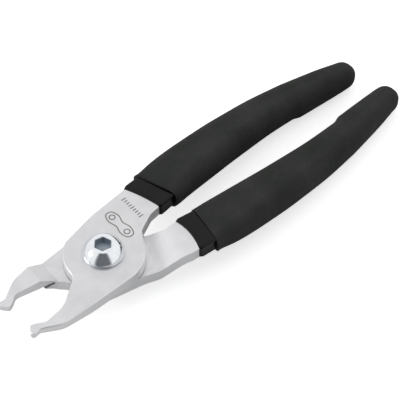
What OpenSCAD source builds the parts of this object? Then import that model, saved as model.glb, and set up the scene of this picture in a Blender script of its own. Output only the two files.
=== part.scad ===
// Master-link pliers for bicycle chain: two stamped steel levers crossing on a
// button-head shoulder screw, with dipped sleeves and foam grips on the handles.
// Jaws point to -X, handles to +X, the pivot axis is Z and the lock nut's end is z = 0.

/* [Plates] */
// Thickness of each stamped lever
plate_t = 4.2; // [3.6:0.1:4.6]
// Radius of the round boss about the pivot
boss_r = 13.7; // [13.4:0.1:13.9]
// Thickness of the jaws at their tips, to enter between chain rollers
tip_t = 1.9; // [1.6:0.1:2.6]
// Turn of the mouth's centre line away from the handles' centre line
mouth_turn = 5.1; // [3:0.1:7]

/* [Pivot] */
// Radius of the screw's smooth shoulder
shoulder_r = 4; // [3:0.5:5]
// Radial clearance between the shoulder and the levers
run_gap = 0.05; // [0.02:0.01:0.1]
// Diameter of the button head
head_d = 14; // [12:0.5:16]
// Height of the button head
head_h = 4.4; // [3.5:0.1:5]
// Hexagon socket across its flats
socket_af = 5; // [4:1:6]
// Depth of the hexagon socket
socket_depth = 2.7; // [2:0.1:3]
// Radius of the screw's threaded end
thread_r = 3; // [2.5:0.5:3]
// Lock nut across its flats
nut_af = 10; // [9:0.5:11]
// Height of the lock nut
nut_h = 5; // [4.5:0.1:6]
// Thickness of the washer under the lock nut
back_washer_t = 1; // [0.8:0.1:1.6]
// Thickness of the friction washer between the levers
friction_washer_t = 0.3; // [0.2:0.05:0.5]

/* [Handles] */
// Wall of the dipped sleeve on the steel
dip_t = 0.7; // [0.5:0.1:0.9]
// X at which the steel tang ends
tang_end = 110; // [106:1:111]
// X at which the upper foam grip ends
grip_end = 119.6; // [119:0.2:122]
// Extra reach of the lower handle beyond the upper one
lower_reach = 3.4; // [0:0.1:3.6]
// Lean of the lower handle, outwards near the pivot and inwards at its end
lower_lean = 1.35; // [1.2:0.05:1.6]

/* [Hidden] */
$fn = 64;
cut = 1; // how far cutters run past the faces they cut
wide = 90; // extent of flat cutters, more than the levers are wide
bevel = 0.5; // chamfer on the screw's end and the nut's rear edge
friction_washer_r = 10;
insert_z = 0.4; // the locking ring sits this far in from the nut's end
insert_h = 1.6; // height of the locking ring
insert_wall = 1; // depth of its groove beyond the thread
slide_gap = 0.05; // axial play of the lower lever on each side

// Heights, from the table side up
washer_z = nut_h;
seat_z = washer_z + back_washer_t; // the screw's shoulder seats here
low_z = seat_z + slide_gap;
low_top = low_z + plate_t;
friction_z = low_top + slide_gap;
high_z = friction_z + friction_washer_t;
high_top = high_z + plate_t;

// Jaw, measured from the pivot with the mouth's centre line along -X
tip_x = -37.5; // foremost point of the jaw
pad_x = -22.3; // rear edge of the raised pad on the lower jaw
ramp_run = 6; // length of the ramp behind the pad
thin_from = -17; // where the jaws start to thin towards the tip
neck_foot = 15.6; // distance from the pivot axis to the foot of the tang's ramp
neck_run = 9; // length of that ramp
neck_turn = -20; // direction in which it climbs
slab_back = -7; // the joggled slabs of neck and jaw run back past the axis to here

// What differs between the levers: the turn of the jaw, the corners [x, y, rounding] of
// its heel, throat and root, of the neck and of the hip, the handle's reach and lean,
// and how far the outer corner of the dipped sleeve's front edge lies ahead of the inner
upper = [mouth_turn, [-14, -13.0, 30], [-23, -6.7, 10], [-13.4, -0.4, 4],
    [15.2, -0.9, 3.5], [6, 14.6, 30], 0, 0, 4.2];
lower = [-mouth_turn, [-17, -13.3, 8], [-22.5, -5.6, 8], [-16, -4.6, 5],
    [16.4, 0.9, 3], [6, 13.4, 20], lower_reach, lower_lean, 1.5];
HEEL = 1;
THROAT = 2;
ROOT = 3;
NECK = 4;
HIP = 5;
REACH = 6;
LEAN = 7;
SLANT = 8;

// Foam grip stations: x on the inner side, inner edge, outer edge, half height, and how
// much of the front edge's slant is left there
grip_front = 32.6;
grip_sections = [
    [grip_front, 2.6, 19.0, 4.0, 1],
    [36, 3.0, 19.8, 4.6, 0.8],
    [44, 4.0, 20.8, 5.4, 0.3],
    [60, 5.5, 21.2, 5.9, 0],
    [78, 6.5, 20.6, 5.8, 0],
    [92, 6.3, 18.9, 5.6, 0],
    [108, 5.7, 15.9, 5.3, 0],
    [grip_end - 4, 5.4, 14.0, 4.5, 0],
];
grip_slant = 0.8; // the foam's front edge slants by this much more than the sleeve's
nose_r = 3; // half size of the blunt end of the foam
nose_y = 9.6; // where that end lies across the handle
slice_t = 0.02; // thickness of the slices that the foam is blended from
dip_front = 25.6; // x of the inner corner of a dipped sleeve's front edge
foam_z = 0.3; // the foam's middle sits this far below the plate's middle
lean_x = 88; // where the lower handle's lean changes side
arc_step = 7.5; // degrees per facet on the rounded outline corners

function unit(v) = v / norm(v);
function turned(p, a) = [p.x * cos(a) - p.y * sin(a), p.x * sin(a) + p.y * cos(a)];
function wrap(a) = a > 180 ? a - 360 : a < -180 ? a + 360 : a;

// Rounds corner b of the path a, b, c with the radius in b[2]
function corner(a, b, c) =
    let (p = [b.x, b.y],
        u = unit([a.x, a.y] - p),
        v = unit([c.x, c.y] - p),
        half = acos(u * v) / 2,
        t = p + u * b[2] / tan(half),
        m = p + unit(u + v) * b[2] / sin(half),
        q = p + v * b[2] / tan(half),
        a0 = atan2(t.y - m.y, t.x - m.x),
        sweep = wrap(atan2(q.y - m.y, q.x - m.x) - a0),
        n = ceil(abs(sweep) / arc_step))
    b[2] == 0 ? [p] : [for (i = [0 : n]) m + b[2] * [cos(a0 + sweep * i / n), sin(a0 + sweep * i / n)]];
function rounded(k) =
    let (n = len(k))
    [for (i = [0 : n - 1]) each corner(k[(i + n - 1) % n], k[i], k[(i + 1) % n])];
function arc(r, a0, a1) =
    let (n = ceil(abs(a1 - a0) / arc_step))
    [for (i = [0 : n]) [r * cos(a0 + (a1 - a0) * i / n), r * sin(a0 + (a1 - a0) * i / n), 0]];

// Places a handle corner of lever v: its reach lengthens it and its lean swings it
function on_handle(v, x, y, r) =
    [x + v[REACH] * (x - 20) / (grip_end - 20), y - v[LEAN] * (x - lean_x) / 40, r];

// Corners of lever v's tang from its inner neck round the end to its outer edge,
// grown by g all round; the sleeved part starts at x = from, its outer side ahead by slant
function tang(v, g, from, slant) = [
    for (k = [
        [from, 2.5 - g, 0],
        [36, 4.8 - g, 60],
        [64, 8.4 - g, 90],
        [90, 8.5 - g, 90],
        [tang_end + g, 7.8 - g, 2.2 + g],
        [tang_end + g, 13.2 + g, 2.2 + g],
        [84, 17.4 + g, 80],
        [48, 18.7 + g, 90],
        [from - slant, 16.5 + g, 0],
    ]) on_handle(v, k.x, k.y, k[2])
];

// Corners of lever v's jaw from its heel round the hooked tip to the root of the mouth
function jaw(v) = [
    for (k = [
        v[HEEL],
        [-28.0, -11.9, 9],
        [-34.4, -8.2, 1.6],
        [tip_x + 0.4, -8.6, 0.8],
        [tip_x, -7.2, 0.9],
        [tip_x + 2.0, -4.7, 0.7],
        [-33.6, -5.5, 1.5],
        [-31, -7.3, 3],
        v[THROAT],
        v[ROOT],
    ]) concat(turned(k, v[0]), k[2])
];

// Lever v's whole outline, with its handle on +Y and its jaw on -Y
module outline(v) {
    side = jaw(v);
    polygon(rounded(concat(
        arc(boss_r, v[0] - 93, -20),
        [v[NECK]],
        tang(v, 0, 21.6, 0),
        [v[HIP]],
        arc(boss_r - 0.5, 122, 176),
        [for (i = [len(side) - 1 : -1 : 0]) side[i]]
    )));
}

module pivot_hole() {
    translate([0, 0, -cut]) cylinder(r = shoulder_r + run_gap, h = high_top + head_h + cut);
}

// Wedge that thins the underside of a jaw towards its tip, turned to angle a
module tip_wedge(a) {
    rotate([90, 0, a])
        linear_extrude(wide, center = true)
            polygon([[thin_from, high_z], [tip_x - cut, high_z + plate_t - tip_t],
                [tip_x - cut, high_z - cut], [thin_from, high_z - cut]]);
}

module upper_lever() {
    color("gainsboro") difference() {
        translate([0, 0, high_z]) linear_extrude(plate_t) outline(upper);
        pivot_hole();
        tip_wedge(mouth_turn);
    }
}

// Side view of a joggled plate: low up to x = foot, then up over run and on to far
module joggled(foot, run, far) {
    rotate([90, 0, 0])
        linear_extrude(wide, center = true)
            polygon([
                [slab_back, low_z], [foot, low_z], [foot + run, high_z], [far, high_z],
                [far, high_top], [foot + run, high_top], [foot, low_top], [slab_back, low_top]
            ]);
}

module lower_lever() {
    color("gainsboro") difference() {
        intersection() {
            mirror([0, 1, 0]) linear_extrude(high_top + cut) outline(lower);
            union() {
                rotate([0, 0, neck_turn]) joggled(neck_foot, neck_run, tang_end + 20);
                mirror([1, 0, 0]) joggled(-pad_x - ramp_run, ramp_run, -tip_x + 5);
            }
        }
        pivot_hole();
        tip_wedge(mouth_turn);
    }
}

module pivot_screw() {
    rim_h = 0.6; // straight rim of the head
    flat_r = 3.8; // flat ring round the socket
    spread = flat_r * flat_r - head_d * head_d / 4;
    dome_z = (head_h * head_h - rim_h * rim_h + spread) / (2 * (head_h - rim_h));
    dome_r = norm([head_h - dome_z, flat_r]);
    color("silver") difference() {
        union() {
            translate([0, 0, high_top]) intersection() {
                cylinder(d = head_d, h = head_h);
                translate([0, 0, dome_z]) sphere(r = dome_r);
            }
            translate([0, 0, seat_z]) cylinder(r = shoulder_r, h = high_top - seat_z);
            translate([0, 0, bevel]) cylinder(r = thread_r, h = seat_z);
            cylinder(r1 = thread_r - bevel, r2 = thread_r, h = bevel);
        }
        translate([0, 0, high_top + head_h - socket_depth]) rotate([0, 0, -10])
            cylinder(d = socket_af / cos(30), h = socket_depth + cut, $fn = 6);
    }
}

// Flat ring of radius r and thickness t round a hole of radius h
module ring(r, h, t) {
    difference() {
        cylinder(r = r, h = t);
        translate([0, 0, -cut]) cylinder(r = h, h = t + 2 * cut);
    }
}

module friction_washer() {
    color("darkgoldenrod") translate([0, 0, friction_z])
        ring(friction_washer_r, shoulder_r + run_gap, friction_washer_t);
}

module back_washer() {
    color("silver") translate([0, 0, washer_z]) ring(head_d / 2, thread_r, back_washer_t);
}

module lock_nut() {
    collar_h = 1; // tapered collar round the locking ring
    collar_taper = 0.6; // the collar's face is this much smaller than the flats
    face_r = nut_af / 2 - collar_taper;
    corner_r = nut_af / 2 + 0.75; // radius that the rear corners are chamfered from
    color("silver") difference() {
        intersection() {
            cylinder(d = nut_af / cos(30), h = nut_h, $fn = 6);
            union() {
                cylinder(r1 = face_r, r2 = face_r + collar_h, h = collar_h);
                translate([0, 0, collar_h]) cylinder(r = nut_af, h = nut_h - collar_h - bevel);
                translate([0, 0, nut_h - bevel])
                    cylinder(r1 = corner_r, r2 = corner_r - bevel, h = bevel);
            }
        }
        translate([0, 0, -cut]) cylinder(r = thread_r, h = nut_h + 2 * cut);
        translate([0, 0, -cut]) cylinder(r = thread_r + insert_wall / 2, h = cut + insert_z);
        translate([0, 0, insert_z]) cylinder(r = thread_r + insert_wall, h = insert_h);
    }
}

module nut_insert() {
    color("royalblue") translate([0, 0, insert_z]) ring(thread_r + insert_wall, thread_r, insert_h);
}

// The steel of lever v's handle as a plain bar, grown by g, for sleeves to fit round
module handle_bar(v, g, from, slant) {
    translate([0, 0, high_z - g]) linear_extrude(plate_t + 2 * g)
        polygon(rounded(tang(v, g, from, slant)));
}

module dip_sleeve(v) {
    color("black") difference() {
        handle_bar(v, dip_t, dip_front, v[SLANT]);
        handle_bar(v, 0, 21.6, 0);
    }
}

module upper_dip_sleeve() {
    dip_sleeve(upper);
}

module lower_dip_sleeve() {
    mirror([0, 1, 0]) dip_sleeve(lower);
}

// One rounded slice of lever v's foam at station s, slanted where the front edge is
module grip_slice(v, s) {
    p = on_handle(v, s.x, s.y, 0);
    q = on_handle(v, s.x - s[4] * (v[SLANT] + grip_slant), s[2], 0);
    r = 0.8 * s[3];
    hull() for (c = [[p.x, p.y + r], [q.x, q.y - r]], z = [r - s[3], s[3] - r])
        translate([c.x, c.y, high_z + plate_t / 2 - foam_z + z]) rotate([0, 90, 0])
            cylinder(r = r, h = slice_t, $fn = 32);
}

module foam_grip(v) {
    nose = [grip_end - slice_t, nose_y - nose_r, nose_y + nose_r, nose_r, 0];
    stations = concat(grip_sections, [nose]);
    color("dimgray") difference() {
        union() for (i = [0 : len(stations) - 2]) hull() {
            grip_slice(v, stations[i]);
            grip_slice(v, stations[i + 1]);
        }
        handle_bar(v, dip_t, dip_front, v[SLANT]);
    }
}

module upper_foam_grip() {
    foam_grip(upper);
}

module lower_foam_grip() {
    mirror([0, 1, 0]) foam_grip(lower);
}

upper_lever();
lower_lever();
pivot_screw();
friction_washer();
back_washer();
lock_nut();
nut_insert();
upper_dip_sleeve();
lower_dip_sleeve();
upper_foam_grip();
lower_foam_grip();
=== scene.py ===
import math

import bmesh
import bpy
from mathutils import Matrix, Vector


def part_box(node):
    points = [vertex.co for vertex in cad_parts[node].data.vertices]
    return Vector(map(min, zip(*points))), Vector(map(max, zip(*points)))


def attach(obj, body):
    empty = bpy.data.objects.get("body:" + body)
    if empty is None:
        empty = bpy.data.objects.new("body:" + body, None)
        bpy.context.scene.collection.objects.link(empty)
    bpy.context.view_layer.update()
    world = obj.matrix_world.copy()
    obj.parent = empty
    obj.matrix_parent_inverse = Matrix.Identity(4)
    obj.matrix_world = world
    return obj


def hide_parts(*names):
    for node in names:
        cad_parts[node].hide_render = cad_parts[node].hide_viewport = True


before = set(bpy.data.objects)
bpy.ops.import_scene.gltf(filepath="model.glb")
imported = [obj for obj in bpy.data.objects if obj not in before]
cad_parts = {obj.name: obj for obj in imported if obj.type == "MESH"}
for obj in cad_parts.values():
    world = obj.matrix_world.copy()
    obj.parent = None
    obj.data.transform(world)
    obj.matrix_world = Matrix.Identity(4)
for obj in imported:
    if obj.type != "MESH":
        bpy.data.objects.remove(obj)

mm = 0.001
weld = 1e-7                                # metres; points closer than this are one
mixFirst, mixSecond, mixResult = 6, 7, 2   # sockets of a Mix node that mixes colours
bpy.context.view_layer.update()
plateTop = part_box("upper_lever")[1].z
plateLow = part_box("upper_lever")[0].z
print("frame loaded:", ", ".join(sorted(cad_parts)))


# Camera, floor and light

shot = {
    "heading": 40.2,        # degrees the camera is turned from +Y towards +X
    "height": 50.0,         # degrees above the table
    "distance": 490 * mm,   # from the pivot, along the line of sight
    "right": 30.96 * mm,    # the middle of the view lies this far right of the pivot
    "up": 16.63 * mm,       # and this far above it
    "lens": 137.6,          # focal length in millimetres
    "reach": (0.05, 20),    # nearest and farthest distance seen, in metres
}


def placeCamera():
    data = bpy.data.cameras.new("camera")
    data.lens = shot["lens"]
    data.clip_start, data.clip_end = shot["reach"]
    camera = bpy.data.objects.new("camera", data)
    bpy.context.scene.collection.objects.link(camera)
    camera.rotation_euler = (math.radians(90 - shot["height"]), 0, -math.radians(shot["heading"]))
    offset = Vector((shot["right"], shot["up"], shot["distance"]))
    camera.location = Vector((0, 0, plateTop)) + camera.rotation_euler.to_matrix() @ offset
    bpy.context.scene.camera = camera


studio = {
    "floorSize": 3.0,
    "floorColour": (0.72, 0.72, 0.72, 1),
    "floorRoughness": 0.9,
    "floorGlow": 0.65,                     # lifts the paper to white, for the camera alone
    "floorGap": 0.35 * mm,                 # the foam's lowest line lies this far above its box
    "floorContact": 11 * mm,               # the foam rests on the floor this far before its tip
    "skyColour": (1.0, 1.0, 1.0, 1),
    "skyStrength": 0.95,
    "openColour": (0.15, 0.16, 0.17, 1),   # the open front of the light tent
    "openReach": (28, 48),                 # degrees beside the camera: dark within, white beyond
    "openTop": (66, 80),                   # degrees up: dark below, white above
    "boxSize": 0.3,                        # metres, as are the box's place and aim
    "boxPower": 1.8,                       # watts
    "boxPlace": (-0.70, 0.42, 0.38),
    "boxAim": (30 * mm, 0, 0),
}


def addNode(tree, kind, values=None, **options):
    node = tree.nodes.new("ShaderNode" + kind)
    for name, value in options.items():
        setattr(node, name, value)
    for socket, value in (values or {}).items():
        node.inputs[socket].default_value = value
    return node


def layFloor():
    # The tool lies on its lock nut and on the ends of both handles
    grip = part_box("upper_foam_grip")
    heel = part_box("lock_nut")[1].y
    contact = grip[1].x - studio["floorContact"]
    slope = math.atan2(studio["floorGap"] + grip[0].z, contact - heel)
    bm = bmesh.new()
    bmesh.ops.create_grid(bm, x_segments=1, y_segments=1, size=studio["floorSize"] / 2)
    bmesh.ops.rotate(bm, verts=bm.verts, cent=(0, 0, 0), matrix=Matrix.Rotation(-slope, 3, "Y"))
    bmesh.ops.translate(bm, verts=bm.verts, vec=(heel, 0, 0))
    mesh = bpy.data.meshes.new("floor")
    bm.to_mesh(mesh)
    bm.free()
    material = bpy.data.materials.new("floorPaper")
    material.use_nodes = True
    tree = material.node_tree
    paper = tree.nodes["Principled BSDF"]
    paper.inputs["Base Color"].default_value = studio["floorColour"]
    paper.inputs["Roughness"].default_value = studio["floorRoughness"]
    paper.inputs["Emission Color"].default_value = (1, 1, 1, 1)
    path = addNode(tree, "LightPath")
    glow = addNode(tree, "Math", {1: studio["floorGlow"]}, operation="MULTIPLY")
    tree.links.new(path.outputs["Is Camera Ray"], glow.inputs[0])
    tree.links.new(glow.outputs[0], paper.inputs["Emission Strength"])
    under = addNode(tree, "BsdfTransparent")   # seen from below, the floor is clear
    side = addNode(tree, "NewGeometry")
    mix = addNode(tree, "MixShader")
    tree.links.new(side.outputs["Backfacing"], mix.inputs[0])
    tree.links.new(paper.outputs[0], mix.inputs[1])
    tree.links.new(under.outputs[0], mix.inputs[2])
    tree.links.new(mix.outputs[0], tree.nodes["Material Output"].inputs["Surface"])
    mesh.materials.append(material)
    floor = bpy.data.objects.new("floor", mesh)
    bpy.context.scene.collection.objects.link(floor)


def lightStudio():
    world = bpy.data.worlds.new("lightTent")
    bpy.context.scene.world = world
    world.use_nodes = True
    tree = world.node_tree
    heading = math.radians(shot["heading"])
    place = addNode(tree, "TexCoord")
    level = addNode(tree, "VectorMath", {1: (1, 1, 0)}, operation="MULTIPLY")
    flat = addNode(tree, "VectorMath", operation="NORMALIZE")
    towards = addNode(tree, "VectorMath", {1: (-math.sin(heading), -math.cos(heading), 0)},
                      operation="DOT_PRODUCT")
    split = addNode(tree, "SeparateXYZ")
    inner, outer = (math.cos(math.radians(reach)) for reach in studio["openReach"])
    full, gone = (math.sin(math.radians(height)) for height in studio["openTop"])
    beside = addNode(tree, "MapRange", {"From Min": outer, "From Max": inner},
                    interpolation_type="SMOOTHSTEP")
    above = addNode(tree, "MapRange", {"From Min": gone, "From Max": full},
                   interpolation_type="SMOOTHSTEP")
    opening = addNode(tree, "Math", operation="MULTIPLY")
    colour = addNode(tree, "Mix", data_type="RGBA")
    colour.inputs[mixFirst].default_value = studio["skyColour"]
    colour.inputs[mixSecond].default_value = studio["openColour"]
    sky = tree.nodes["Background"]
    sky.inputs["Strength"].default_value = studio["skyStrength"]
    tree.links.new(place.outputs["Generated"], level.inputs[0])
    tree.links.new(place.outputs["Generated"], split.inputs[0])
    tree.links.new(level.outputs[0], flat.inputs[0])
    tree.links.new(flat.outputs[0], towards.inputs[0])
    tree.links.new(towards.outputs["Value"], beside.inputs["Value"])
    tree.links.new(split.outputs["Z"], above.inputs["Value"])
    tree.links.new(beside.outputs["Result"], opening.inputs[0])
    tree.links.new(above.outputs["Result"], opening.inputs[1])
    tree.links.new(opening.outputs[0], colour.inputs["Factor"])
    tree.links.new(colour.outputs[mixResult], sky.inputs["Color"])

    data = bpy.data.lights.new("softBox", "AREA")
    data.size = studio["boxSize"]
    data.energy = studio["boxPower"]
    box = bpy.data.objects.new("softBox", data)
    box.location = studio["boxPlace"]
    aim = Vector(studio["boxAim"]) - box.location
    box.rotation_euler = aim.to_track_quat("-Z", "Y").to_euler()
    bpy.context.scene.collection.objects.link(box)
    bpy.context.scene.view_settings.view_transform = "Standard"


placeCamera()
layFloor()
lightStudio()
print("camera, floor and light placed")


# Finishes

noiseGrit = 0.6   # how much each finer layer of a noise counts


def startFinish(name):
    material = bpy.data.materials.new(name)
    material.use_nodes = True
    tree = material.node_tree
    place = addNode(tree, "TexCoord")
    return material, tree, tree.nodes["Principled BSDF"], place


def noiseAt(tree, place, noise, stretch=None, turn=0.0):
    # noise: how fine it is, and how many layers of detail it has
    scale, detail = noise
    texture = addNode(tree, "TexNoise", {"Scale": scale, "Detail": detail, "Roughness": noiseGrit})
    source = place.outputs["Object"]
    if stretch:
        mapping = addNode(tree, "Mapping", {"Scale": stretch, "Rotation": (0, 0, turn)})
        tree.links.new(source, mapping.inputs["Vector"])
        source = mapping.outputs["Vector"]
    tree.links.new(source, texture.inputs["Vector"])
    return texture.outputs["Fac"]


def spread(tree, value, low, high, start=0.3, end=0.7):
    # Turns values from start to end into values from low to high
    node = addNode(tree, "MapRange",
                   {"From Min": start, "From Max": end, "To Min": low, "To Max": high})
    tree.links.new(value, node.inputs["Value"])
    return node.outputs["Result"]


def blendColours(tree, factor, first, second):
    node = addNode(tree, "Mix", data_type="RGBA")
    tree.links.new(factor, node.inputs["Factor"])
    for socket, colour in ((node.inputs[mixFirst], first), (node.inputs[mixSecond], second)):
        if isinstance(colour, tuple):
            socket.default_value = (*colour, 1)
        else:
            tree.links.new(colour, socket)
    return node.outputs[mixResult]


def roughen(tree, shader, layers):
    # Each layer is a height, how strongly it shows and how deep it goes
    below = None
    for height, strength, depth in layers:
        bump = addNode(tree, "Bump", {"Strength": strength, "Distance": depth})
        tree.links.new(height, bump.inputs["Height"])
        if below:
            tree.links.new(below, bump.inputs["Normal"])
        below = bump.outputs["Normal"]
    tree.links.new(below, shader.inputs["Normal"])


def tiltMask(tree, place, start, end):
    # 0 on the flats, 1 on rounded edges and sides: start and end are cosines of the lean
    split = addNode(tree, "SeparateXYZ")
    tree.links.new(place.outputs["Normal"], split.inputs[0])
    flat = addNode(tree, "Math", operation="ABSOLUTE")
    tree.links.new(split.outputs["Z"], flat.inputs[0])
    return spread(tree, flat.outputs[0], 0.0, 1.0, start, end)


# In each look, a noise is its fineness and detail, and a bump its strength and depth

steelLook = {
    "light": (0.76, 0.76, 0.775),
    "dark": (0.68, 0.68, 0.695),
    "edge": (0.86, 0.86, 0.87),
    "edgeLean": (0.995, 0.75),
    "roughness": (0.36, 0.50),
    "rubSpread": (0.35, 0.65),
    "rubs": (90, 6),
    "rubStretch": (1, 14, 6),
    "rubTurn": 0.35,
    "mottle": (160, 4),
    "mottleBump": (0.25, 0.05 * mm),
    "grain": (1500, 5),
    "grainBump": (0.35, 0.02 * mm),
}


def platedSteel():
    look = steelLook
    material, tree, shader, place = startFinish("platedSteel")
    mottle = noiseAt(tree, place, look["mottle"])
    grain = noiseAt(tree, place, look["grain"])
    rubs = noiseAt(tree, place, look["rubs"], look["rubStretch"], look["rubTurn"])
    edge = tiltMask(tree, place, *look["edgeLean"])
    body = blendColours(tree, spread(tree, mottle, 0, 1), look["dark"], look["light"])
    colour = blendColours(tree, edge, body, look["edge"])
    tree.links.new(colour, shader.inputs["Base Color"])
    rough = spread(tree, rubs, *look["roughness"], *look["rubSpread"])
    tree.links.new(rough, shader.inputs["Roughness"])
    shader.inputs["Metallic"].default_value = 1.0
    roughen(tree, shader, [(mottle, *look["mottleBump"]), (grain, *look["grainBump"])])
    return material


zincLook = {
    "light": (0.93, 0.95, 0.97),
    "dark": (0.80, 0.83, 0.87),
    "screwRoughness": (0.05, 0.15),
    "nutRoughness": (0.16, 0.30),
    "cloud": (420, 4),
    "cloudBump": (0.35, 0.06 * mm),
    "rings": {"Scale": 900, "Distortion": 1.5, "Detail": 2},   # turning marks
    "ringBump": (0.08, 0.01 * mm),
    "fine": (2400, 3),
    "fineBump": (0.1, 0.01 * mm),
}
socketShadeLook = {
    "colour": (0.40, 0.45, 0.50),   # painted shade: a darker colour inside the hexagon socket, standing in for the shade in the recess
    "dull": 0.35,                   # how much rougher the socket's inside is
    "radius": 2.95 * mm,
    "radiusFade": 0.05 * mm,
    "top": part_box("pivot_screw")[1].z,
    "topFade": 0.3 * mm,
}


def socketShadeMask(tree, place, look):
    # 1 inside the socket and 0 elsewhere; it places the painted shade
    split = addNode(tree, "SeparateXYZ")
    tree.links.new(place.outputs["Object"], split.inputs[0])
    flat = addNode(tree, "CombineXYZ")
    for axis in "XY":
        tree.links.new(split.outputs[axis], flat.inputs[axis])
    reach = addNode(tree, "VectorMath", operation="LENGTH")
    tree.links.new(flat.outputs[0], reach.inputs[0])
    radius, top = look["radius"], look["top"]
    within = spread(tree, reach.outputs["Value"], 1.0, 0.0, radius, radius + look["radiusFade"])
    below = spread(tree, split.outputs["Z"], 1.0, 0.0, top - look["topFade"], top)
    inside = addNode(tree, "Math", operation="MULTIPLY")
    tree.links.new(within, inside.inputs[0])
    tree.links.new(below, inside.inputs[1])
    return inside.outputs[0]


def brightZinc(name, roughness, socket=None):
    look = zincLook
    material, tree, shader, place = startFinish(name)
    cloud = noiseAt(tree, place, look["cloud"])
    fine = noiseAt(tree, place, look["fine"])
    turned = addNode(tree, "TexWave", look["rings"], wave_type="RINGS", rings_direction="Z")
    tree.links.new(place.outputs["Object"], turned.inputs["Vector"])
    colour = blendColours(tree, spread(tree, cloud, 0, 1), look["dark"], look["light"])
    shine = spread(tree, cloud, *roughness)
    if socket:
        # Painted shade: the inside of the socket is darkened where the recess lies in shade
        inside = socketShadeMask(tree, place, socket)
        colour = blendColours(tree, inside, colour, socket["colour"])
        dull = addNode(tree, "Math", {1: socket["dull"]}, operation="MULTIPLY_ADD")
        tree.links.new(inside, dull.inputs[0])
        tree.links.new(shine, dull.inputs[2])
        shine = dull.outputs[0]
    tree.links.new(colour, shader.inputs["Base Color"])
    tree.links.new(shine, shader.inputs["Roughness"])
    shader.inputs["Metallic"].default_value = 1.0
    roughen(tree, shader, [(cloud, *look["cloudBump"]), (turned.outputs["Fac"], *look["ringBump"]),
                           (fine, *look["fineBump"])])
    return material


vinylLook = {
    "base": (0.003, 0.0035, 0.003),
    "worn": (0.008, 0.009, 0.008),
    "wornShare": 0.5,
    "edgeLean": (0.97, 0.6),
    "roughness": (0.10, 0.22),
    "specular": 0.2,
    "cloud": (150, 4),
    "peel": (500, 2),
    "peelBump": (0.3, 0.05 * mm),
}


def dippedVinyl():
    look = vinylLook
    material, tree, shader, place = startFinish("dippedVinyl")
    peel = noiseAt(tree, place, look["peel"])
    cloud = noiseAt(tree, place, look["cloud"])
    edge = tiltMask(tree, place, *look["edgeLean"])
    worn = spread(tree, cloud, 0, look["wornShare"])
    body = blendColours(tree, worn, look["base"], look["worn"])
    tree.links.new(blendColours(tree, edge, body, look["worn"]), shader.inputs["Base Color"])
    tree.links.new(spread(tree, cloud, *look["roughness"]), shader.inputs["Roughness"])
    shader.inputs["Specular IOR Level"].default_value = look["specular"]
    roughen(tree, shader, [(peel, *look["peelBump"])])
    return material


foamLook = {
    "base": (0.020, 0.022, 0.020),
    "light": (0.036, 0.038, 0.036),
    "speck": (0.085, 0.09, 0.085),
    "speckShare": 0.5,
    "speckSpread": (0.62, 0.78),
    "roughness": (0.8, 1.0),
    "specular": 0.25,
    "cloud": (90, 5),
    "cloudBump": (0.2, 0.3 * mm),
    "cells": {"Scale": 1100, "Randomness": 1.0},
    "cellBump": (0.5, 0.08 * mm),
    "grain": (1300, 5),
    "grainBump": (0.6, 0.1 * mm),
}


def closedFoam():
    look = foamLook
    material, tree, shader, place = startFinish("closedFoam")
    cloud = noiseAt(tree, place, look["cloud"])
    grain = noiseAt(tree, place, look["grain"])
    cells = addNode(tree, "TexVoronoi", look["cells"])
    tree.links.new(place.outputs["Object"], cells.inputs["Vector"])
    body = blendColours(tree, spread(tree, cloud, 0, 1), look["base"], look["light"])
    specks = spread(tree, grain, 0, look["speckShare"], *look["speckSpread"])
    tree.links.new(blendColours(tree, specks, body, look["speck"]), shader.inputs["Base Color"])
    tree.links.new(spread(tree, grain, *look["roughness"]), shader.inputs["Roughness"])
    shader.inputs["Specular IOR Level"].default_value = look["specular"]
    roughen(tree, shader, [(cloud, *look["cloudBump"]),
                           (cells.outputs["Distance"], *look["cellBump"]),
                           (grain, *look["grainBump"])])
    return material


plainLooks = {
    "sinteredBronze": {
        "dark": (0.50, 0.33, 0.14), "light": (0.70, 0.50, 0.24), "metallic": 1.0,
        "cloud": (200, 4), "pores": (1800, 4), "roughness": (0.3, 0.55), "bump": (0.4, 0.02 * mm),
    },
    "dyedNylon": {
        "dark": (0.03, 0.10, 0.42), "light": (0.06, 0.17, 0.55), "metallic": 0.0,
        "cloud": (600, 3), "pores": (600, 3), "roughness": (0.35, 0.5), "bump": (0.2, 0.03 * mm),
    },
    "printedInk": {
        "dark": (0.11, 0.10, 0.085), "light": (0.20, 0.19, 0.165), "metallic": 0.0,
        "cloud": (1600, 4), "pores": (1600, 4), "roughness": (0.5, 0.7), "bump": (0.2, 0.01 * mm),
    },
}


def plainFinish(name):
    look = plainLooks[name]
    material, tree, shader, place = startFinish(name)
    cloud = noiseAt(tree, place, look["cloud"])
    pores = noiseAt(tree, place, look["pores"])
    colour = blendColours(tree, spread(tree, cloud, 0, 1), look["dark"], look["light"])
    tree.links.new(colour, shader.inputs["Base Color"])
    tree.links.new(spread(tree, pores, *look["roughness"]), shader.inputs["Roughness"])
    shader.inputs["Metallic"].default_value = look["metallic"]
    roughen(tree, shader, [(pores, *look["bump"])])
    return material


finishes = {
    "steel": platedSteel(),
    "zinc": brightZinc("brightZinc", zincLook["screwRoughness"], socketShadeLook),
    "nutZinc": brightZinc("nutZinc", zincLook["nutRoughness"]),
    "vinyl": dippedVinyl(),
    "foam": closedFoam(),
    "bronze": plainFinish("sinteredBronze"),
    "nylon": plainFinish("dyedNylon"),
    "ink": plainFinish("printedInk"),
}
print("finishes made:", ", ".join(finishes))


# Mesh helpers

flatAngle = math.radians(0.3)   # faces that differ by less than this are one flat


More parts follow.
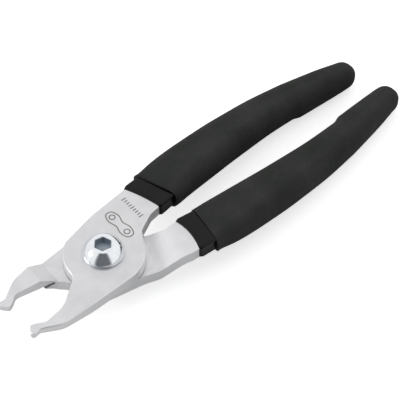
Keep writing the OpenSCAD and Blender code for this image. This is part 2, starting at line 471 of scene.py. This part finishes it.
def finishPiece(name, bm, finish, body, nodes=(), sharpAngle=35, evenNormals=True):
    # sharpAngle: edges bent by more than this many degrees stay crisp
    for face in bm.faces:
        face.smooth = True
    for edge in bm.edges:
        edge.smooth = edge.calc_face_angle(0) < math.radians(sharpAngle)
    mesh = bpy.data.meshes.new(name)
    bm.to_mesh(mesh)
    bm.free()
    mesh.materials.append(finishes[finish])
    piece = bpy.data.objects.new(name, mesh)
    bpy.context.scene.collection.objects.link(piece)
    if evenNormals:
        even = piece.modifiers.new("evenNormals", "WEIGHTED_NORMAL")
        even.keep_sharp = True
    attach(piece, body)
    if nodes:
        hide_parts(*nodes)
    print("made", name, "with", len(mesh.polygons), "faces")
    return piece


def copyOfNode(node):
    # The node's loose triangles, welded and with the flats made whole
    bm = bmesh.new()
    bm.from_mesh(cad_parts[node].data)
    bmesh.ops.remove_doubles(bm, verts=bm.verts, dist=weld)
    bmesh.ops.dissolve_limit(bm, angle_limit=flatAngle, verts=bm.verts, edges=bm.edges)
    for layers in (bm.loops.layers.uv, bm.loops.layers.color, bm.loops.layers.float_vector):
        for layer in list(layers.values()):
            layers.remove(layer)
    return bm


def bevelEdges(bm, edges, width, segments):
    bmesh.ops.bevel(bm, geom=edges, offset=width, offset_type="OFFSET", segments=segments,
                    profile=0.5, affect="EDGES", material=-1, clamp_overlap=True,
                    loop_slide=True)


def edgesOf(verts):
    # The edges that join these points to each other
    found = set()
    chosen = set(verts)
    for vert in verts:
        found.update(edge for edge in vert.link_edges if edge.other_vert(vert) in chosen)
    return list(found)


def stackLoops(bm, loops, capStart=True):
    # Joins each closed loop to the next one and closes the ends
    for lower, upper in zip(loops, loops[1:]):
        bmesh.ops.bridge_loops(bm, edges=edgesOf(lower) + edgesOf(upper))
    if capStart:
        bmesh.ops.contextual_create(bm, geom=edgesOf(loops[0]))
    bmesh.ops.contextual_create(bm, geom=edgesOf(loops[-1]))
    bmesh.ops.recalc_face_normals(bm, faces=bm.faces)


def circleLoop(bm, radius, z, steps):
    loop = bmesh.ops.create_circle(bm, segments=steps, radius=radius)["verts"]
    bmesh.ops.translate(bm, verts=loop, vec=(0, 0, z))
    return loop


def hexLoop(bm, flats, z, steps, turn):
    # A hexagon with as many points as the round loops it is bridged to
    loop = circleLoop(bm, flats / 2, z, steps)
    for vert in loop:
        angle = math.degrees(math.atan2(vert.co.y, vert.co.x)) % 60
        vert.co.xy /= math.cos(math.radians(angle - 30))
    bmesh.ops.rotate(bm, verts=loop, cent=(0, 0, 0), matrix=Matrix.Rotation(turn, 3, "Z"))
    return loop


def turnProfile(bm, points, steps):
    # Turns a half section of (radius, height) points about the pivot axis
    verts = [bm.verts.new((radius, 0, z)) for radius, z in points]
    edges = [bm.edges.new(pair) for pair in zip(verts, verts[1:])]
    bmesh.ops.spin(bm, geom=verts + edges, cent=(0, 0, 0), axis=(0, 0, 1), angle=2 * math.pi,
                   steps=steps, use_merge=True, use_duplicate=False)
    bmesh.ops.remove_doubles(bm, verts=bm.verts, dist=weld)
    bmesh.ops.recalc_face_normals(bm, faces=bm.faces)


# Steel levers

leverLook = {
    "rimRound": (0.5 * mm, 4),     # rolled-over edge on the punch side: its width and steps
    "backRound": (0.18 * mm, 2),
    "padRound": (0.35 * mm, 3),    # crease of the raised pad on the jaw
    "edgeAngle": 22,               # degrees; flatter edges stay as they are
    "faceUp": 0.5,                 # a face is top or bottom above this share of its normal
    "faceSide": 0.45,              # and a side below this one
    "boreKeep": 4.6 * mm,          # edges nearer than this to the axis stay sharp
    "neckFoot": 15.6 * mm,         # the joggle in the neck starts this far from the pivot,
    "neckRun": 9.0 * mm,           # climbs over this length,
    "neckRise": 4.55 * mm,         # this high,
    "neckTurn": math.radians(-20),   # in this direction
    "footRound": 1.3 * mm,         # and bends over this length to each side of its foot
    "headRound": 3.2 * mm,         # and of its head
    "neckSteps": 6,
}


def leverEdges(bm, test):
    look = leverLook
    found = []
    for edge in bm.edges:
        if len(edge.link_faces) != 2 or edge.calc_face_angle(0) < math.radians(look["edgeAngle"]):
            continue
        middle = (edge.verts[0].co + edge.verts[1].co) / 2
        upward = [face.normal.z for face in edge.link_faces]
        if middle.xy.length > look["boreKeep"] and test(middle, upward):
            found.append(edge)
    return found


def bendNeck(bm):
    # Slices the plate across the joggle and eases its two creases into curves
    look = leverLook
    towards = Vector((math.cos(look["neckTurn"]), math.sin(look["neckTurn"]), 0))
    slope = look["neckRise"] / look["neckRun"]
    steps = look["neckSteps"]
    for crease, reach, sign in ((look["neckFoot"], look["footRound"], 1),
                                (look["neckFoot"] + look["neckRun"], look["headRound"], -1)):
        for step in range(-steps, steps + 1):
            bmesh.ops.bisect_plane(bm, geom=bm.verts[:] + bm.edges[:] + bm.faces[:], dist=weld,
                                   plane_co=towards * (crease + reach * step / steps),
                                   plane_no=towards)
        for vert in bm.verts:
            past = vert.co.dot(towards) - crease
            if abs(past) < reach:
                vert.co.z += sign * slope * ((past + reach) ** 2 / (4 * reach) - max(0.0, past))


def makeLever(node, name, body):
    look = leverLook
    up, side = look["faceUp"], look["faceSide"]
    bm = copyOfNode(node)
    if node == "lower_lever":
        bendNeck(bm)
    # m is an edge's middle, n holds how far its two faces look upwards
    creases = leverEdges(bm, lambda m, n: min(map(abs, n)) > up and n[0] * n[1] > 0 and m.x < 0)
    if creases:
        bevelEdges(bm, creases, *look["padRound"])
    bevelEdges(bm, leverEdges(bm, lambda m, n: max(n) > up and min(n) < side), *look["rimRound"])
    bevelEdges(bm, leverEdges(bm, lambda m, n: min(n) < -up and max(n) > -side), *look["backRound"])
    finishPiece(name, bm, "steel", body, [node])


makeLever("upper_lever", "upperLeverPlate", "upper_half")
makeLever("lower_lever", "lowerLeverPlate", "lower_half")


# Pivot screw, nut and washers

screwLook = {
    "steps": 72,
    "rim": 0.6 * mm,               # height of the head's widest line above the plate
    "rimDrop": 0.15 * mm,          # the head's side starts this far below that line
    "skirt": (                     # below it: how far in from the rim and up from the plate
        (0.5 * mm, 0.0), (0.4 * mm, 0.08 * mm), (0.05 * mm, 0.3 * mm),
    ),
    "domeSteps": 14,
    "flatRadius": 3.8 * mm,
    "flatEdge": 0.3 * mm,
    "socketFlats": 5 * mm,
    "socketDepth": 2.7 * mm,
    "socketChamfer": 0.3 * mm,
    "socketTurn": math.radians(-10),
    "drillStep": 0.3 * mm,         # the drilled floor of the socket is this much smaller
    "drillPoint": (0.2 * mm, 0.3 * mm),   # radius and depth of its middle
    "shoulderRadius": 4 * mm,
    "shoulderChamfer": 0.2 * mm,
    "threadRadius": 3 * mm,
    "threadChamfer": 0.5 * mm,
    "sameHeight": 0.001 * mm,      # points closer than this count as level
}


def makeScrew():
    low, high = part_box("pivot_screw")
    look = screwLook
    headRadius = high.x
    under = plateTop
    bm = bmesh.new()
    # Dome between the rim and the flat round the socket: a circle through both
    rimZ, flatZ, flatRadius = look["rim"], high.z - under, look["flatRadius"]
    centre = (flatZ ** 2 + flatRadius ** 2 - rimZ ** 2 - headRadius ** 2) / (2 * (flatZ - rimZ))
    domeRadius = math.hypot(flatZ - centre, flatRadius)
    start = math.atan2(rimZ - centre, headRadius)
    end = math.atan2(flatZ - centre, flatRadius)
    rounds = look["domeSteps"]
    dome = [(domeRadius * math.cos(a), under + centre + domeRadius * math.sin(a))
            for a in (start + (end - start) * i / rounds for i in range(rounds + 1))]
    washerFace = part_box("back_washer")[1].z
    thread, threadCut = look["threadRadius"], look["threadChamfer"]
    shoulder, shoulderCut = look["shoulderRadius"], look["shoulderChamfer"]
    profile = [
        (0.0, low.z), (thread - threadCut, low.z), (thread, low.z + threadCut),
        (thread, washerFace), (shoulder - shoulderCut, washerFace),
        (shoulder, washerFace + shoulderCut), (shoulder, under),
    ]
    profile += [(headRadius - inward, under + upward) for inward, upward in look["skirt"]]
    profile += [(headRadius, under + rimZ - look["rimDrop"])] + dome
    profile += [(flatRadius - look["flatEdge"], high.z)]
    turnProfile(bm, profile, look["steps"])
    top = [vert for vert in bm.verts if abs(vert.co.z - high.z) < look["sameHeight"]]
    inner = min(vert.co.xy.length for vert in top)
    ring = [vert for vert in top if abs(vert.co.xy.length - inner) < look["sameHeight"]]
    flats, steps, turn = look["socketFlats"], look["steps"], look["socketTurn"]
    floor = high.z - look["socketDepth"]
    pointRadius, pointDepth = look["drillPoint"]
    mouth = hexLoop(bm, flats + 2 * look["socketChamfer"], high.z, steps, turn)
    wall = hexLoop(bm, flats, high.z - look["socketChamfer"], steps, turn)
    foot = hexLoop(bm, flats, floor, steps, turn)
    drill = circleLoop(bm, flats / 2 - look["drillStep"], floor, steps)
    point = circleLoop(bm, pointRadius, floor - pointDepth, steps)
    stackLoops(bm, [ring, mouth, wall, foot, drill, point], capStart=False)
    finishPiece("pivotScrew", bm, "zinc", "upper_half", ["pivot_screw"])


nutLook = {
    "edgeRound": (0.12 * mm, 2),   # width and steps
    "edgeAngle": 25,               # degrees; flatter edges stay as they are
}


def makeNut():
    bm = copyOfNode("lock_nut")
    sharp = [edge for edge in bm.edges
             if edge.calc_face_angle(0) > math.radians(nutLook["edgeAngle"])]
    bevelEdges(bm, sharp, *nutLook["edgeRound"])
    finishPiece("lockNut", bm, "nutZinc", "upper_half", ["lock_nut"])


ringLook = {   # radius of the hole, and width of the broken edges
    "back_washer": (screwLook["threadRadius"], 0.15 * mm),
    "friction_washer": (screwLook["shoulderRadius"] + 0.05 * mm, 0.05 * mm),
    "nut_insert": (screwLook["threadRadius"], 0.1 * mm),
}


def makeRing(node, name, finish):
    low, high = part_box(node)
    hole, edge = ringLook[node]
    radius = high.x
    bm = bmesh.new()
    turnProfile(bm, [
        (hole, low.z + edge), (hole + edge, low.z), (radius - edge, low.z), (radius, low.z + edge),
        (radius, high.z - edge), (radius - edge, high.z), (hole + edge, high.z),
        (hole, high.z - edge), (hole, low.z + edge),
    ], screwLook["steps"])
    finishPiece(name, bm, finish, "upper_half", [node])


makeScrew()
makeNut()
makeRing("back_washer", "backWasher", "nutZinc")
makeRing("friction_washer", "frictionWasher", "bronze")
makeRing("nut_insert", "nutInsert", "nylon")


# Dipped sleeves and foam grips

flatPoints = 5       # points along the top and along the bottom of each section
cornerLimit = 0.98   # a corner's radius is at most this share of the half width or height


def spanOf(bm, x):
    # How far a node reaches across and up at a station along the handle
    part = bm.copy()
    cut = bmesh.ops.bisect_plane(part, geom=part.verts[:] + part.edges[:] + part.faces[:],
                                 dist=weld, plane_co=(x, 0, 0), plane_no=(1, 0, 0))["geom_cut"]
    points = [item.co.copy() for item in cut if isinstance(item, bmesh.types.BMVert)]
    part.free()
    across = sorted((point.y for point in points), key=abs)
    up = sorted(point.z for point in points)
    return across[0], across[-1], up[0], up[-1]


def sleeveLoop(bm, station, radius, count, groove=0.0, hollow=0.0):
    # A rounded rectangle across the handle, with count points round each corner.
    # station: x and y of its inner side, x and y of its outer side, then its z range.
    # groove draws in the middle of each side.
    # hollow sets back the middle of the top and of the bottom.
    innerX, innerY, outerX, outerY, lowZ, highZ = station
    halfWide, halfHigh = abs(outerY - innerY) / 2, (highZ - lowZ) / 2
    radius = min(radius, halfWide * cornerLimit, halfHigh * cornerLimit)
    outward = 1 if outerY > innerY else -1
    half = 2 * count + flatPoints + 1
    loop = circleLoop(bm, 1, 0, 2 * half)
    for index, vert in enumerate(loop):
        step = index % half - 1
        upward = 1 if index < half else -1
        if step < 0:                               # the middle of a side
            side, height = (halfWide - groove) * upward, 0.0
        elif count <= step < count + flatPoints:   # along the top or the bottom
            along = (step - count + 1) / (flatPoints + 1)
            side = upward * (halfWide - radius) * (1 - 2 * along)
            height = upward * halfHigh
        else:                                      # round a corner
            step -= flatPoints if step >= count else 0
            quarter = step // count + 2 * (index // half)
            angle = math.radians(90) * (quarter + step % count / (count - 1))
            signX = 1 if quarter in (0, 3) else -1
            signZ = 1 if quarter < 2 else -1
            side = signX * (halfWide - radius) + radius * math.cos(angle)
            height = signZ * (halfHigh - radius) + radius * math.sin(angle)
        share = (side / halfWide + 1) / 2          # 0 on the inner side, 1 on the outer
        x = innerX + (outerX - innerX) * share + hollow * 4 * share * (1 - share)
        middle = (innerY + outerY) / 2
        vert.co = Vector((x, middle + outward * side, (highZ + lowZ) / 2 + height))
    return loop


def growStation(station, grow, push=0.0):
    # Makes a section larger all round, and pushes it along the handle
    innerX, innerY, outerX, outerY, lowZ, highZ = station
    outward = math.copysign(grow, outerY - innerY)
    return [innerX + push, innerY - outward, outerX + push, outerY + outward,
            lowZ - grow, highZ + grow]


def stationsOf(part, places, leanAt, plate=False):
    # Sections along the handle, each cut slanting: its outer side leads by leanAt(x)
    stations = []
    for x in places:
        ahead = x - leanAt(x)
        inner, outer = spanOf(part, x), spanOf(part, ahead)
        heights = (plateLow, plateTop) if plate else inner[2:]
        stations.append((x, inner[0], ahead, outer[1], *heights))
    return stations


def evenly(start, end, number):
    return [start + (end - start) * i / (number - 1) for i in range(number)]


# slant: how far the front edge leads on the outer side
# hollow: how far it is set back in the middle
# thumbAt: where the grip's step for the thumb lies
handles = {
    "upper": {"body": "upper_half", "slant": 4.2 * mm, "hollow": 0.5 * mm, "thumbAt": 91.0 * mm},
    "lower": {"body": "lower_half", "slant": 1.5 * mm, "hollow": 1.1 * mm, "thumbAt": 96.5 * mm},
}
dipLook = {
    "wall": 0.7 * mm,
    "edgeRound": 1.0 * mm,
    "groove": 0.22 * mm,
    "bore": (-0.02 * mm, 0.4 * mm),   # how much larger than the steel, and its corner radius
    "frontThin": 0.14 * mm,    # thickness where the dip runs out on the steel
    "lip": (                   # share of that thickness, corner radius, and push backwards
        (0.6, 0.45 * mm, 0.0), (1.0, 0.5 * mm, 0.06 * mm),
    ),
    "frontBand": 1.3 * mm,     # width of the sloping band behind that,
    "bandShares": (0.62, 0.92, 1.0),   # and the shares of the wall it climbs through
    "leanRun": 20 * mm,        # the front edge's slant fades out over this length
    "hollowRun": 12 * mm,      # and its hollow over this one
    "stations": 13,
    "endRun": 2.3 * mm,        # the last full section lies this far before the steel's end
    "end": (                   # the closed end: push beyond that section, and shrinking
        (1.6 * mm, 0.3 * mm), (2.6 * mm, 1.0 * mm), (2.9 * mm, 1.8 * mm),
    ),
    "count": 7,
}


def makeDip(handle):
    look, style = dipLook, handles[handle]
    wall, edge, groove = look["wall"], look["edgeRound"], look["groove"]
    low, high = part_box(handle + "_dip_sleeve")
    steel = copyOfNode(handle + "_lever")
    front = low.x + style["slant"]
    tangEnd = high.x - wall
    bm = bmesh.new()

    def leanAt(x):
        return style["slant"] * max(0.0, 1 - (x - front) / look["leanRun"])

    along = evenly(front, tangEnd - look["endRun"], look["stations"])
    stations = stationsOf(steel, along, leanAt, plate=True)
    across = evenly(front, front + look["frontBand"], len(look["bandShares"]) + 1)
    band = stationsOf(steel, across, leanAt, plate=True)
    steel.free()
    loops = []

    def addLoop(station, grow, radius, groove=0.0, push=0.0):
        fade = max(0.0, 1 - (station[0] - front) / look["hollowRun"])
        section = growStation(station, grow, push)
        loops.append(sleeveLoop(bm, section, radius, look["count"], groove, style["hollow"] * fade))

    for station in reversed(stations):
        addLoop(station, *look["bore"])
    for share, radius, push in look["lip"]:
        addLoop(band[0], look["frontThin"] * share, radius, push=push)
    for station, share in zip(band[1:], look["bandShares"]):
        addLoop(station, wall * share, edge, groove * share)
    for station in stations[1:]:
        addLoop(station, wall, edge, groove)
    for push, shrink in look["end"]:
        addLoop(stations[-1], wall - shrink, edge, push=push)
    stackLoops(bm, loops)
    finishPiece(handle + "DipSleeve", bm, "vinyl", style["body"],
                [handle + "_dip_sleeve"], sharpAngle=50)


gripLook = {
    "front": (                # how far behind the front edge, and how much narrower and lower
        (0.0, 0.30 * mm, 0.50 * mm), (0.03 * mm, 0.27 * mm, 0.47 * mm),
        (0.4 * mm, 0.17 * mm, 0.35 * mm), (2.0 * mm, 0.05 * mm, 0.14 * mm),
    ),
    "frontGap": 0.03 * mm,    # how far inside its box the grip starts
    "extraSlant": 0.8 * mm,   # the foam's front slants this much more than the dip's
    "leanRun": 27 * mm,
    "leanPower": 1.9,
    "count": 10,
    "stations": 18,
    "corner": 0.8,            # corner radius as a share of the half height
    "boreGap": 0.02 * mm,     # between the foam and the sleeve inside it
    "boreRound": 0.1 * mm,    # added to the sleeve's corner radius
    "boreLip": 0.1 * mm,      # from the bore's first section to its second
    "boreStations": 10,
    "boreEnd": 14 * mm,       # the bore ends this far before the tip
    "capFrom": 5.0 * mm,      # the rounded end starts this far before the tip
    "capSteps": 5,
    "capTurns": 5.4,          # the steps that would close the end
    "capPower": 0.9,
    "thumbStep": 0.9 * mm,    # the grip widens inwards by this much towards its end
    "thumbRun": 2.4 * mm,
    "thumbShares": (-0.75, -0.4, 0.4, 0.75),   # extra sections there, as shares of the run
    "rampFrom": 50 * mm,      # where it starts to narrow ahead of that,
    "rampRun": 35 * mm,       # over what length,
    "rampShare": 0.5,         # and by what share of the step
    "smoothing": 2,
}


def clampShare(value):
    return min(1.0, max(0.0, value))


def makeGrip(handle):
    look, style = gripLook, handles[handle]
    node = handle + "_foam_grip"
    low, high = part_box(node)
    slant = style["slant"] + look["extraSlant"]
    front = low.x + slant + look["frontGap"]
    capStart = high.x - look["capFrom"]
    bm = bmesh.new()
    loops = []

    def leanAt(x):
        return slant * max(0.0, 1 - (x - front) / look["leanRun"]) ** look["leanPower"]

    def addLoop(station, grow=0.0, push=0.0, corner=None, sink=0.0):
        grown = growStation(station, grow, push)
        grown[4] += sink
        grown[5] -= sink
        radius = corner or look["corner"] * (grown[5] - grown[4]) / 2
        loops.append(sleeveLoop(bm, grown, radius, look["count"]))

    steel, foam = copyOfNode(handle + "_lever"), copyOfNode(node)
    inside = evenly(front, high.x - look["boreEnd"], look["boreStations"])
    inside.insert(1, front + look["boreLip"])
    bore = stationsOf(steel, inside, leanAt, plate=True)
    thumb = [style["thumbAt"] + look["thumbRun"] * share for share in look["thumbShares"]]
    outside = sorted(evenly(front, capStart, look["stations"]) + thumb)
    outer = [list(station) for station in stationsOf(foam, outside, leanAt)]
    steel.free()
    foam.free()
    for station in reversed(bore):
        addLoop(station, dipLook["wall"] + look["boreGap"],
                corner=dipLook["edgeRound"] + look["boreRound"])
    for station in outer:
        step = clampShare((station[0] - style["thumbAt"]) / look["thumbRun"] + 0.5)
        ramp = clampShare((station[0] - look["rampFrom"]) / look["rampRun"])
        outwards = math.copysign(look["thumbStep"], station[3])
        station[1] += outwards * (look["rampShare"] * ramp - step)
    for push, narrow, sink in look["front"]:
        addLoop(outer[0], -narrow, push, sink=sink)
    for station in outer[1:]:
        addLoop(station)
    last = outer[-1]
    middleY, middleZ = (last[1] + last[3]) / 2, (last[4] + last[5]) / 2
    for step in range(1, look["capSteps"] + 1):
        turn = math.radians(90) * step / look["capTurns"]
        shrink = math.cos(turn) ** look["capPower"]
        x = capStart + look["capFrom"] * math.sin(turn)
        across = [middleY + (y - middleY) * shrink for y in (last[1], last[3])]
        up = [middleZ + (z - middleZ) * shrink for z in (last[4], last[5])]
        addLoop((x, across[0], x, across[1], *up))
    stackLoops(bm, loops)
    piece = finishPiece(handle + "FoamGrip", bm, "foam", style["body"], [node],
                        sharpAngle=70, evenNormals=False)
    smooth = piece.modifiers.new("smooth", "SUBSURF")
    smooth.levels = smooth.render_levels = look["smoothing"]


for handle in handles:
    makeDip(handle)
    makeGrip(handle)


# Printed mark: a plain chain link along the handle's width, and a row of ticks

markLook = {
    "linkMiddle": (11.0 * mm, 5.6 * mm),
    "linkHalf": (2.5 * mm, 6.4 * mm),
    "linkSteps": 64,
    "blunt": 0.65,            # smaller values make the link's ends squarer
    "waist": 0.4,             # the share of the width lost at the waist,
    "waistReach": 0.32,       # and how far along the half length that reaches
    "pinOffset": 3.9 * mm,
    "pinRadius": 1.15 * mm,
    "pinSteps": 32,
    "stroke": 0.36 * mm,
    "tickFrom": (18.6 * mm, 3.9 * mm),
    "tickStep": 1.15 * mm,
    "tickNumber": 9,
    "tickSize": (1.3 * mm, 0.38 * mm),
    "longTick": 1.35,         # a long tick is this many times as long,
    "longEvery": 4,           # and one tick in how many is long
    "thickness": 0.03 * mm,
    "lift": 0.01 * mm,        # added to the height of the plate's top
}


def makeMark():
    look = markLook
    bm = bmesh.new()

    def stroked(loop, place):
        # Keeps a narrow band just inside a closed outline, and puts it in place
        face = bmesh.ops.contextual_create(bm, geom=edgesOf(loop))["faces"]
        band = bmesh.ops.inset_region(bm, faces=face, thickness=look["stroke"],
                                      use_boundary=True, use_even_offset=True)["faces"]
        bmesh.ops.delete(bm, geom=face, context="FACES_ONLY")
        corners = {vert for made in band for vert in made.verts}
        bmesh.ops.translate(bm, verts=list(corners), vec=(*place, 0))

    middleX, middleY = look["linkMiddle"]
    halfWide, halfLong = look["linkHalf"]
    outline = circleLoop(bm, 1, 0, look["linkSteps"])
    for vert in outline:
        along, wide = vert.co.y, vert.co.x
        pinch = 1 - look["waist"] * math.exp(-((along / look["waistReach"]) ** 2))
        vert.co.x = halfWide * math.copysign(abs(wide) ** look["blunt"], wide) * pinch
        vert.co.y = halfLong * along
    stroked(outline, (middleX, middleY))
    for side in (-1, 1):
        pin = circleLoop(bm, look["pinRadius"], 0, look["pinSteps"])
        stroked(pin, (middleX, middleY + side * look["pinOffset"]))
    tickX, tickY = look["tickFrom"]
    tickLong, tickWide = look["tickSize"]
    for i in range(look["tickNumber"]):
        tick = bmesh.ops.create_grid(bm, x_segments=1, y_segments=1, size=0.5)["verts"]
        stretch = look["longTick"] if i % look["longEvery"] == 0 else 1.0
        bmesh.ops.scale(bm, verts=tick, vec=(tickLong * stretch, tickWide, 1))
        bmesh.ops.translate(bm, verts=tick, vec=(tickX, tickY + i * look["tickStep"], 0))
    loose = [vert for vert in bm.verts if not vert.link_faces]
    bmesh.ops.delete(bm, geom=loose, context="VERTS")
    bmesh.ops.recalc_face_normals(bm, faces=bm.faces)
    bmesh.ops.solidify(bm, geom=bm.faces[:], thickness=look["thickness"])
    bmesh.ops.translate(bm, verts=bm.verts, vec=(0, 0, plateTop + look["lift"]))
    bmesh.ops.recalc_face_normals(bm, faces=bm.faces)
    finishPiece("printedMark", bm, "ink", "upper_half", sharpAngle=30,
                evenNormals=False)


makeMark()
